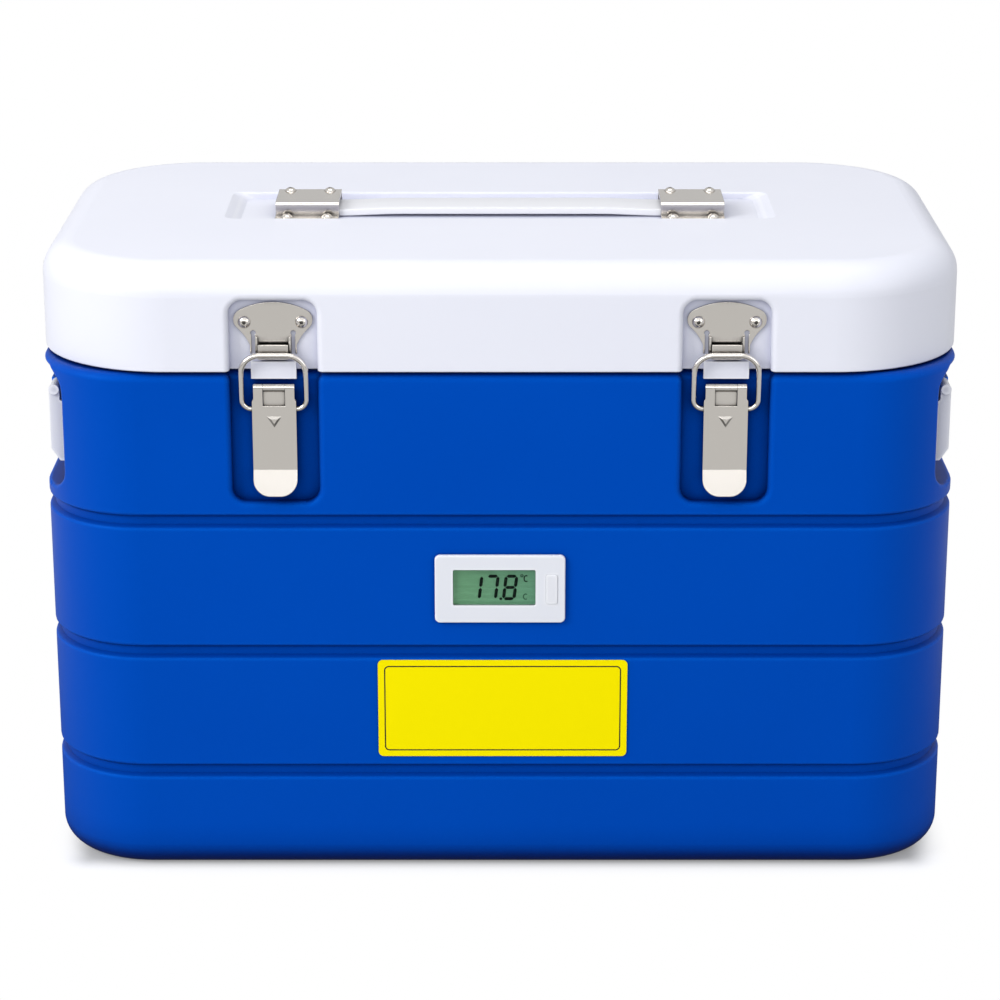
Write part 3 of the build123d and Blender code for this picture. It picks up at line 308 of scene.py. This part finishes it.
# Moulded ABS: a cool white lid with a soft sheen on its shoulder, painted shade in its pockets and a painted
# highlight on its edges.
white_shell = moulded_plastic(
    "moulded_abs_white_lid",
    colour="#EDEEF6",
    shade="#E8E9F2",
    deep="#C6C8DA",
    edge_highlight_colour="#F2F3F9",
    roughness=0.36,
    edge_mm=0.6,
    reach_mm=30,
    peel_mm=1.6,
    peel_high_mm=0.015,
    Specular_IOR_Level=0.35,
)
# Moulded polystyrene: the greyer, duller white of a liner, with painted shade in its recesses and a painted
# highlight on its edges.
inner_plastic = moulded_plastic(
    "moulded_polystyrene_liner",
    colour="#E4E5E9",
    shade="#DCDDE2",
    deep="#B9BBC8",
    edge_highlight_colour="#EAEBEF",
    roughness=0.42,
    edge_mm=0.5,
    reach_mm=30,
    peel_mm=1.2,
    peel_high_mm=0.02,
)
# Moulded nylon: a warmer, slightly waxy white, with painted shade that greys it quickly under the grip and a
# painted highlight on its edges.
white_handle = moulded_plastic(
    "moulded_nylon_white",
    colour="#F0F0F2",
    shade="#EBEBEE",
    deep="#B7B8C1",
    edge_highlight_colour="#F6F6F8",
    roughness=0.32,
    edge_mm=0.4,
    reach_mm=12,
    peel_mm=0.9,
    peel_high_mm=0.01,
)
# Moulded ABS again, for the meter and its button: painted shade in their small gaps, such as the one round
# the button, reads as thin grey lines, and a painted highlight lightens their edges.
housing = moulded_plastic(
    "moulded_abs_meter_white",
    colour="#EAECF1",
    shade="#E6E8EE",
    deep="#9A9CA6",
    edge_highlight_colour="#F7F8FB",
    roughness=0.38,
    edge_mm=0.5,
    reach_mm=1.6,
    peel_mm=0.6,
    peel_high_mm=0.006,
)
button = moulded_plastic(
    "moulded_abs_button",
    colour="#EBECF0",
    shade="#E7E8ED",
    deep="#9A9CA6",
    edge_highlight_colour="#F4F5F8",
    roughness=0.42,
    edge_mm=0.4,
    reach_mm=1.6,
    peel_mm=0.5,
    peel_high_mm=0.006,
)
# Pressed stainless steel, tumbled: a warm grey mirror with a blur, bright where it leans to the light.
steel = polished_metal("pressed_stainless_bright", "#E6E1DB", roughness=0.16, edge_mm=0.45, grain_mm=0.25)
# Moulded soft PVC: an even white with a faint grit.
strap_vinyl = plain_moulding(
    "moulded_pvc_strap_white", "#E8E8EB", roughness=0.36, grit_mm=0.8, depth_mm=0.012, Specular_IOR_Level=0.4
)
# Cut polyurethane foam: matt straw yellow with open pores.
foam = plain_moulding("cut_polyurethane_foam", "#E6D9A8", roughness=0.9, grit_mm=0.7, depth_mm=0.25)
# Printed vinyl film: a flat, strong yellow with hardly any gloss.
label_film = plain_moulding(
    "printed_vinyl_label_yellow",
    "#FFEE00",
    roughness=0.38,
    grit_mm=0.9,
    depth_mm=0.004,
    Specular_IOR_Level=0.2,
    Specular_Tint=linear("#FFE34A"),
)
# Clear acrylic: nearly nothing but its reflection.
window = plain_moulding(
    "clear_acrylic_window", "#0C1210", roughness=0.06, grit_mm=2.0, depth_mm=0.001, Alpha=0.1
)
# Small hidden parts: green solder mask, black PVC lead and dull black rubber.
board = plain_moulding("solder_masked_board", "#1E5B34", roughness=0.4, grit_mm=0.4, depth_mm=0.03)
sheath = plain_moulding("extruded_pvc_sheath", "#1C1C1E", roughness=0.45, grit_mm=0.4, depth_mm=0.02)
rubber = plain_moulding("moulded_epdm_rubber", "#202022", roughness=0.7, grit_mm=0.3, depth_mm=0.03)
# Screen-printed ink: a dull near-black line.
print_black = plain_moulding(
    "screen_printed_ink_black", "#15140C", roughness=0.5, grit_mm=0.3, depth_mm=0.002
)
# Liquid crystal segments: green-black when lit, a shadow of themselves when faint.
lit_segment = plain_moulding(
    "lcd_segment_dark", "#04140D", roughness=0.5, grit_mm=0.3, depth_mm=0.002, Specular_IOR_Level=0.1
)
faint_segment = plain_moulding(
    "lcd_segment_faint", "#2F5A43", roughness=0.5, grit_mm=0.3, depth_mm=0.002, Specular_IOR_Level=0.1
)


def reflective_display():
    """A reflective LCD: grey-green, a little bluer to the right, with a fine grain."""
    material, shader = new_material("reflective_display_green", "#8CCB9B", LCD_ROUGHNESS)
    where = place(material)
    parts = add_node(material, "ShaderNodeSeparateXYZ", {"Vector": where})
    across = add_node(
        material,
        "ShaderNodeMapRange",
        {"Value": parts.outputs["X"]},
        From_Min=LCD_LEFT * MM,
        From_Max=LCD_RIGHT * MM,
    )
    tint = add_node(
        material,
        "ShaderNodeMix",
        {"Factor": across.outputs["Result"]},
        data_type="RGBA",
        A=linear("#93D49D"),
        B=linear("#85C8A2"),
    )
    # The polariser's fine grain.
    grain = add_node(
        material, "ShaderNodeTexNoise", {"Vector": where}, Scale=1 / (POLARISER_GRAIN * MM), Detail=2.0
    )
    shade = add_node(
        material,
        "ShaderNodeMix",
        {"Factor": grain.outputs["Fac"], "A": tint.outputs["Result"]},
        data_type="RGBA",
        B=linear("#7FC093"),
    )
    join(material, shade.outputs["Result"], shader.inputs["Base Color"])
    return material


display = reflective_display()

by_slot = {
    "blue_shell": blue_shell,
    "white_shell": white_shell,
    "inner_plastic": inner_plastic,
    "foam_core": foam,
    "white_handle": white_handle,
    "bright_metal": steel,
    "label_film": label_film,
    "meter_housing": housing,
    "meter_button": button,
    "clear_window": window,
    "lcd_glass": display,
    "circuit_board": board,
    "cable_sheath": sheath,
    "black_rubber": rubber,
}
for sub in frame["record"]["subparts"]:
    node = frame["nodes"][sub["node"]]
    node.data.materials.clear()
    node.data.materials.append(by_slot[sub["material_slot"]])


# ------------------------------------------------------------------ display digits
def bar_piece(corners, front, back):
    """A flat bar from (x, z) corners in millimetres, made by filling and extruding."""
    fresh()
    bpy.ops.mesh.primitive_circle_add(vertices=len(corners), radius=0.001, fill_type="NGON")
    piece = bpy.context.object
    for vertex, (x, z) in zip(piece.data.vertices, corners):
        vertex.co = (x * MM, front * MM, z * MM)
    bpy.ops.object.mode_set(mode="EDIT")
    bpy.ops.mesh.select_all(action="SELECT")
    bpy.ops.mesh.extrude_region_move(TRANSFORM_OT_translate={"value": (0, (back - front) * MM, 0)})
    bpy.ops.mesh.select_all(action="SELECT")
    bpy.ops.mesh.normals_make_consistent(inside=False)
    bpy.ops.object.mode_set(mode="OBJECT")
    return piece


# A digit, in millimetres: its middle height, half its height, its width, its lean and its bars.
DIGIT_MID_Z = 176.7
DIGIT_HALF = 6.85
DIGIT_WIDE = 6.05
SLANT = 0.116
SEGMENT = 1.9
SEGMENT_GAP = 0.18
# The digits' right-hand bars, from the tens to the tenths.
TENS_X, UNITS_X, TENTHS_X = -11.2, -1.85, 8.85
# Ink stands a hair proud of the display, and its back is sunk in it.
INK_PROUD, INK_SUNK = 0.03, 0.05
INK_FRONT, INK_BACK = LCD_FACE_Y - INK_PROUD, LCD_FACE_Y + INK_SUNK
# A mark's own opening, in degrees either side of its right.
LETTER_START, LETTER_STOP = 50, 310
RING_START, RING_STOP = 2, 358


def lean(points):
    return [(x + SLANT * (z - DIGIT_MID_Z), z) for x, z in points]


def segment(x1, z1, x2, z2, width=SEGMENT):
    """A level or upright bar with pointed ends, from its left or lower place to its other one."""
    half = width / 2
    if z1 == z2:
        left, right = x1 + SEGMENT_GAP, x2 - SEGMENT_GAP
        return [
            (left, z1),
            (left + half, z1 - half),
            (right - half, z1 - half),
            (right, z1),
            (right - half, z1 + half),
            (left + half, z1 + half),
        ]
    low, high = z1 + SEGMENT_GAP, z2 - SEGMENT_GAP
    return [
        (x1, low),
        (x1 + half, low + half),
        (x1 + half, high - half),
        (x1, high),
        (x1 - half, high - half),
        (x1 - half, low + half),
    ]


def digit(right_x, lit):
    """The lit segments of one digit, named a to g, whose right bars stand at right_x."""
    left_x = right_x - DIGIT_WIDE
    top, low = DIGIT_MID_Z + DIGIT_HALF, DIGIT_MID_Z - DIGIT_HALF
    places = {
        "a": (left_x, top, right_x, top),
        "b": (right_x, DIGIT_MID_Z, right_x, top),
        "c": (right_x, low, right_x, DIGIT_MID_Z),
        "d": (left_x, low, right_x, low),
        "e": (left_x, low, left_x, DIGIT_MID_Z),
        "f": (left_x, DIGIT_MID_Z, left_x, top),
        "g": (left_x, DIGIT_MID_Z, right_x, DIGIT_MID_Z),
    }
    return [lean(segment(*places[name])) for name in lit]


def arc_band(x, z, half_wide, half_high, stroke, start, stop, count=22):
    """A bent stroke from start to stop degrees, such as a ring or a letter C."""
    turns = [math.radians(start + (stop - start) * i / count) for i in range(count + 1)]
    outer = [(x + half_wide * math.cos(t), z + half_high * math.sin(t)) for t in turns]
    inner = [(x + (half_wide - stroke) * math.cos(t), z + (half_high - stroke) * math.sin(t)) for t in turns]
    return outer + inner[::-1]


def round_dot(x, z, radius, count=16):
    return [
        (x + radius * math.cos(2 * math.pi * i / count), z + radius * math.sin(2 * math.pi * i / count))
        for i in range(count)
    ]


def joined(shapes, name, front, back, material, body="box"):
    """Flat bars joined into one named piece that rides on a body."""
    pieces = [bar_piece(shape, front, back) for shape in shapes]
    fresh()
    for piece in pieces:
        piece.select_set(True)
    bpy.context.view_layer.objects.active = pieces[0]
    bpy.ops.object.join()
    piece = settle(bpy.context.object, name)
    piece.data.materials.append(material)
    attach(piece, body)
    return piece


reading = digit(TENS_X, "bc") + digit(UNITS_X, "abc") + digit(TENTHS_X, "abcdefg")
decimal_point = round_dot(x=0.45, z=169.8, radius=0.85)
degree_ring = arc_band(
    12.6, 183.8, half_wide=0.95, half_high=0.95, stroke=0.5, start=RING_START, stop=RING_STOP
)
celsius = arc_band(
    15.0, 182.1, half_wide=1.5, half_high=2.15, stroke=0.7, start=LETTER_START, stop=LETTER_STOP
)
faint_celsius = arc_band(
    14.7, 171.1, half_wide=1.5, half_high=1.95, stroke=0.6, start=LETTER_START, stop=LETTER_STOP
)
joined(
    reading + [decimal_point, degree_ring, celsius],
    "display_digits",
    INK_FRONT,
    INK_BACK,
    lit_segment,
)
joined([faint_celsius], "display_faint_mark", INK_FRONT, INK_BACK, faint_segment)

# ------------------------------------------------------------------ label border
# The border: its middle, size, line width and corner rounding, in millimetres, and how its ink sits.
LABEL_X, LABEL_Z = 1.5, 102.1
BORDER_WIDE, BORDER_HIGH = 137.6, 52.9
BORDER_LINE = 0.75
BORDER_CORNER = 2.8
BORDER_PROUD, BORDER_THICK = 0.02, 0.06


def rounded_outline(x, z, wide, high, corner, count=8):
    """The corners of a rounded rectangle, in order round it."""
    points = []
    for quarter, (side_x, side_z) in enumerate(((1, 1), (-1, 1), (-1, -1), (1, -1))):
        for i in range(count + 1):
            turn = math.radians(90 * (quarter + i / count))
            points.append((
                x + side_x * (wide / 2 - corner) + corner * math.cos(turn),
                z + side_z * (high / 2 - corner) + corner * math.sin(turn),
            ))
    return points


fresh()
outline = rounded_outline(LABEL_X, LABEL_Z, BORDER_WIDE, BORDER_HIGH, BORDER_CORNER)
bpy.ops.mesh.primitive_circle_add(vertices=len(outline), radius=0.001, fill_type="NGON")
border = bpy.context.object
for vertex, (x, z) in zip(border.data.vertices, outline):
    vertex.co = (x * MM, (LABEL_FACE_Y - BORDER_PROUD) * MM, z * MM)
bpy.ops.object.mode_set(mode="EDIT")
bpy.ops.mesh.select_all(action="SELECT")
bpy.ops.mesh.inset(thickness=BORDER_LINE * MM)
bpy.ops.mesh.delete(type="FACE")
bpy.ops.mesh.select_all(action="SELECT")
bpy.ops.mesh.extrude_region_move(TRANSFORM_OT_translate={"value": (0, BORDER_THICK * MM, 0)})
bpy.ops.mesh.select_all(action="SELECT")
bpy.ops.mesh.normals_make_consistent(inside=False)
settle(border, "label_border")
border.data.materials.append(print_black)
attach(border, "box")

# ------------------------------------------------------------------ carrying strap
# The strap, in millimetres: half its length, its front and back, its underside, thickness, rise and rounding.
STRAP_HALF = 132.0
STRAP_FRONT_Y, STRAP_BACK_Y = -7.0, 21.0
STRAP_LOW, STRAP_THICK = 362.5, 4.2
STRAP_ARCH = 1.1
STRAP_EDGE = 1.0
# It leaves its brackets at the first of these, and is level from the second one inwards.
BRACKET_INNER_X = 96.5
GRIP_X = 60.0
STRAP_STEPS = 44
STRAP_CORNER_STEPS = 5


def strap_rise(x):
    """How far the strap stands above its lowest line, in mm: level in the brackets, then a smooth rise."""
    reach = min(max((BRACKET_INNER_X - abs(x)) / (BRACKET_INNER_X - GRIP_X), 0.0), 1.0)
    return STRAP_ARCH * reach * reach * (3 - 2 * reach)


def strap_half(side, name):
    """One half of the moulded strap, run from the middle to its bracket."""
    fresh()
    mid_y = (STRAP_FRONT_Y + STRAP_BACK_Y) / 2
    mid_z = STRAP_LOW + STRAP_THICK / 2
    deep = STRAP_BACK_Y - STRAP_FRONT_Y
    section = rounded_outline(mid_y, mid_z, deep, STRAP_THICK, STRAP_EDGE, STRAP_CORNER_STEPS)
    bpy.ops.mesh.primitive_circle_add(vertices=len(section), radius=0.001, fill_type="NGON")
    half = bpy.context.object
    for vertex, (y, z) in zip(half.data.vertices, section):
        vertex.co = (0, y * MM, (z + strap_rise(0)) * MM)
    bpy.ops.object.mode_set(mode="EDIT")
    bpy.ops.mesh.select_all(action="SELECT")
    step = STRAP_HALF / STRAP_STEPS
    for i in range(STRAP_STEPS):
        lift = strap_rise((i + 1) * step) - strap_rise(i * step)
        bpy.ops.mesh.extrude_region_move(
            TRANSFORM_OT_translate={"value": (side * step * MM, 0, lift * MM)}
        )
    bpy.ops.mesh.select_all(action="SELECT")
    bpy.ops.mesh.normals_make_consistent(inside=False)
    settle(half, name)
    half.data.materials.append(strap_vinyl)
    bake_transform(half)
    return half


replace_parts(strap_half(-1, "strap_half_left"), "strap_grip", "strap_end_left")
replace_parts(strap_half(1, "strap_half_right"), "strap_end_right")

# ------------------------------------------------------------------ camera
# Metres and radians: a long lens from in front and a little above, 1000 pixels across a 36 mm sensor.
CAMERA_PLACE = (0.0, -1.820, 0.772)
CAMERA_DOWN = 0.314
SENSOR_WIDTH = 36.0
FOCAL_PIXELS = 3082
PICTURE_PIXELS = 1000
CLIP_NEAR, CLIP_FAR = 0.05, 50

camera_data = bpy.data.cameras.new("camera")
camera = bpy.data.objects.new("camera", camera_data)
bpy.context.scene.collection.objects.link(camera)
camera.location = CAMERA_PLACE
camera.rotation_euler = (math.pi / 2 - CAMERA_DOWN, 0, 0)
camera_data.sensor_width = SENSOR_WIDTH
camera_data.lens = FOCAL_PIXELS * SENSOR_WIDTH / PICTURE_PIXELS
camera_data.clip_start = CLIP_NEAR
camera_data.clip_end = CLIP_FAR
bpy.context.scene.camera = camera

# ------------------------------------------------------------------ floor
# Metres: the paper's side and middle, half the darkest patch, which lies a little inside the box's flat
# base, and how far out from that patch the paper turns white, its painted shadow fades and the painted shadow
# in its mirror image pales.
FLOOR_SIDE, FLOOR_MIDDLE = 14, (0, 3, 0)
DARK_HALF = (0.243, 0.134, 0.0)
PAPER_FADE = 0.03
PAINTED_SHADOW_FADE = 0.022
MIRROR_FADE = 0.55
# How pale the paper is under its painted shadow next to the box and clear of it, how much of it lights the
# box, its glow to the camera, and what the metal mirrors of it, darkened by a painted shadow near the box.
PAINTED_SHADOW_TONE, PAPER_TONE = 0.42, 0.9
BOUNCE_TONE = 0.5
PAPER_GLOW = 0.2
MIRROR_NEAR, MIRROR_FAR = 0.08, 0.64
MIRROR_COLOUR = (1, 1, 0.99, 1)
WHITE = (1, 1, 1, 1)


def studio_floor_paint():
    """Matt white paper that keeps the box's contact shadow, deepened by a painted shadow next to the box, and
    runs out to plain white.
    """
    paint = bpy.data.materials.new("matt_white_studio_floor")
    paint.use_nodes = True
    paint.node_tree.nodes.clear()
    seen = add_node(paint, "ShaderNodeLightPath")
    # How far a place on the floor is from the darkest patch, under the box.
    place_now = add_node(paint, "ShaderNodeNewGeometry").outputs["Position"]
    mirrored_place = add_node(paint, "ShaderNodeVectorMath", {0: place_now}, operation="ABSOLUTE")
    past_edge = add_node(
        paint, "ShaderNodeVectorMath", {0: mirrored_place.outputs["Vector"]}, operation="SUBTRACT"
    )
    past_edge.inputs[1].default_value = DARK_HALF
    outside = add_node(paint, "ShaderNodeVectorMath", {0: past_edge.outputs["Vector"]}, operation="MAXIMUM")
    outside.inputs[1].default_value = (0, 0, 0)
    away = add_node(paint, "ShaderNodeVectorMath", {0: outside.outputs["Vector"]}, operation="LENGTH")
    distance = away.outputs["Value"]
    # The floor gives the box less light back than it shows the camera, and next to the box a painted shadow
    # darkens it.
    shaded = add_node(
        paint,
        "ShaderNodeMapRange",
        {"Value": distance},
        interpolation_type="SMOOTHSTEP",
        From_Max=PAINTED_SHADOW_FADE,
        To_Min=PAINTED_SHADOW_TONE,
        To_Max=PAPER_TONE,
    )
    tone = add_node(
        paint,
        "ShaderNodeMix",
        {"Factor": seen.outputs["Is Diffuse Ray"], "A": shaded.outputs["Result"]},
        data_type="RGBA",
        B=(BOUNCE_TONE, BOUNCE_TONE, BOUNCE_TONE, 1),
    )
    matt = add_node(paint, "ShaderNodeBsdfDiffuse", {"Color": tone.outputs["Result"]})
    glow = add_node(
        paint,
        "ShaderNodeEmission",
        {"Strength": seen.outputs["Is Camera Ray"]},
        Color=(PAPER_GLOW, PAPER_GLOW, PAPER_GLOW, 1),
    )
    near = add_node(paint, "ShaderNodeAddShader", {0: matt.outputs[0], 1: glow.outputs[0]})
    clean = add_node(paint, "ShaderNodeEmission", Color=WHITE, Strength=1.0)
    clear = add_node(
        paint, "ShaderNodeMapRange", {"Value": distance}, interpolation_type="SMOOTHSTEP", From_Max=PAPER_FADE
    )
    whiten = add_node(
        paint,
        "ShaderNodeMath",
        {0: seen.outputs["Is Camera Ray"], 1: clear.outputs["Result"]},
        operation="MULTIPLY",
    )
    shown = add_node(
        paint, "ShaderNodeMixShader", {0: whiten.outputs[0], 1: near.outputs[0], 2: clean.outputs[0]}
    )
    # Mirrored in the metal, the floor carries a painted shadow that darkens it towards the box.
    darkened = add_node(
        paint,
        "ShaderNodeMapRange",
        {"Value": distance},
        interpolation_type="SMOOTHSTEP",
        From_Max=MIRROR_FADE,
        To_Min=MIRROR_NEAR,
        To_Max=MIRROR_FAR,
    )
    mirrored = add_node(
        paint, "ShaderNodeEmission", {"Strength": darkened.outputs["Result"]}, Color=MIRROR_COLOUR
    )
    both = add_node(
        paint,
        "ShaderNodeMixShader",
        {0: seen.outputs["Is Glossy Ray"], 1: shown.outputs[0], 2: mirrored.outputs[0]},
    )
    add_node(paint, "ShaderNodeOutputMaterial", {"Surface": both.outputs[0]})
    return paint


fresh()
bpy.ops.mesh.primitive_plane_add(size=FLOOR_SIDE, location=FLOOR_MIDDLE)
floor = bpy.context.object
floor.name = "studio_floor"
floor.data.materials.append(studio_floor_paint())

# ------------------------------------------------------------------ world
# The light from all round, and what reflections see: a wall in front and one behind, blended by how far
# back a direction points, and a dim gap where they meet the floor, by how far up or down it points.
WORLD_LIGHT, WORLD_COLOUR = 0.66, (0.93, 0.95, 1.0, 1)
FRONT_WALL, BACK_WALL = 1.03, 0.6
WALL_FROM, WALL_TO = -0.5, 0.4
GAP_FROM, GAP_TO = 0.03, 0.14
GAP_TONE = 0.12


def studio_world():
    """White to the camera and through clear parts, an even cool light, and soft walls for reflections."""
    world = bpy.data.worlds.new("studio_world")
    world.use_nodes = True
    world.node_tree.nodes.clear()
    seen = add_node(world, "ShaderNodeLightPath")
    direct = add_node(
        world,
        "ShaderNodeMath",
        {0: seen.outputs["Is Camera Ray"], 1: seen.outputs["Is Transmission Ray"]},
        operation="MAXIMUM",
    )
    toward = add_node(world, "ShaderNodeTexCoord").outputs["Generated"]
    ways = add_node(world, "ShaderNodeSeparateXYZ", {"Vector": toward})
    # Reflections see a bright front wall, a dimmer back wall and a dark gap at the horizon.
    walls = add_node(
        world,
        "ShaderNodeMapRange",
        {"Value": ways.outputs["Y"]},
        interpolation_type="SMOOTHSTEP",
        From_Min=WALL_FROM,
        From_Max=WALL_TO,
        To_Min=FRONT_WALL,
        To_Max=BACK_WALL,
    )
    height = add_node(world, "ShaderNodeMath", {0: ways.outputs["Z"]}, operation="ABSOLUTE")
    gap = add_node(
        world,
        "ShaderNodeMapRange",
        {"Value": height.outputs[0]},
        interpolation_type="SMOOTHSTEP",
        From_Min=GAP_FROM,
        From_Max=GAP_TO,
        To_Min=GAP_TONE,
        To_Max=1.0,
    )
    strength = add_node(
        world, "ShaderNodeMath", {0: walls.outputs["Result"], 1: gap.outputs["Result"]}, operation="MULTIPLY"
    )
    dim = add_node(world, "ShaderNodeBackground", Color=WORLD_COLOUR, Strength=WORLD_LIGHT)
    studio = add_node(world, "ShaderNodeBackground", {"Strength": strength.outputs[0]}, Color=WHITE)
    white = add_node(world, "ShaderNodeBackground", Color=WHITE, Strength=1.0)
    gloss = add_node(
        world,
        "ShaderNodeMixShader",
        {0: seen.outputs["Is Glossy Ray"], 1: dim.outputs[0], 2: studio.outputs[0]},
    )
    mixed = add_node(
        world, "ShaderNodeMixShader", {0: direct.outputs[0], 1: gloss.outputs[0], 2: white.outputs[0]}
    )
    add_node(world, "ShaderNodeOutputWorld", {"Surface": mixed.outputs[0]})
    return world


bpy.context.scene.world = studio_world()


# ------------------------------------------------------------------ lamps
def lamp(name, location, aim, size, power):
    """A soft white panel, placed in metres, turned towards a point and given its power in watts."""
    data = bpy.data.lights.new(name, "AREA")
    data.shape = "RECTANGLE"
    data.size, data.size_y = size
    data.energy = power
    light = bpy.data.objects.new(name, data)
    bpy.context.scene.collection.objects.link(light)
    light.location = location
    direction = [a - b for a, b in zip(aim, location)]
    light.rotation_euler = Vector(direction).to_track_quat("-Z", "Y").to_euler()


# Where the lamps point: near the middle of the box, and near its lid.
MID_AIM, LID_AIM = (0, 0, 0.2), (0, 0, 0.3)
lamp("key_left", (-2.3, -1.5, 1.8), MID_AIM, size=(1.0, 1.4), power=50)
lamp("top", (0, -0.1, 2.4), LID_AIM, size=(1.6, 0.7), power=8.5)
lamp("front", (-0.4, -2.7, 1.5), MID_AIM, size=(1.8, 0.5), power=11)
lamp("fill_right", (1.9, -1.6, 1.0), MID_AIM, size=(1.2, 1.6), power=6)

bpy.context.scene.view_settings.view_transform = "Standard"
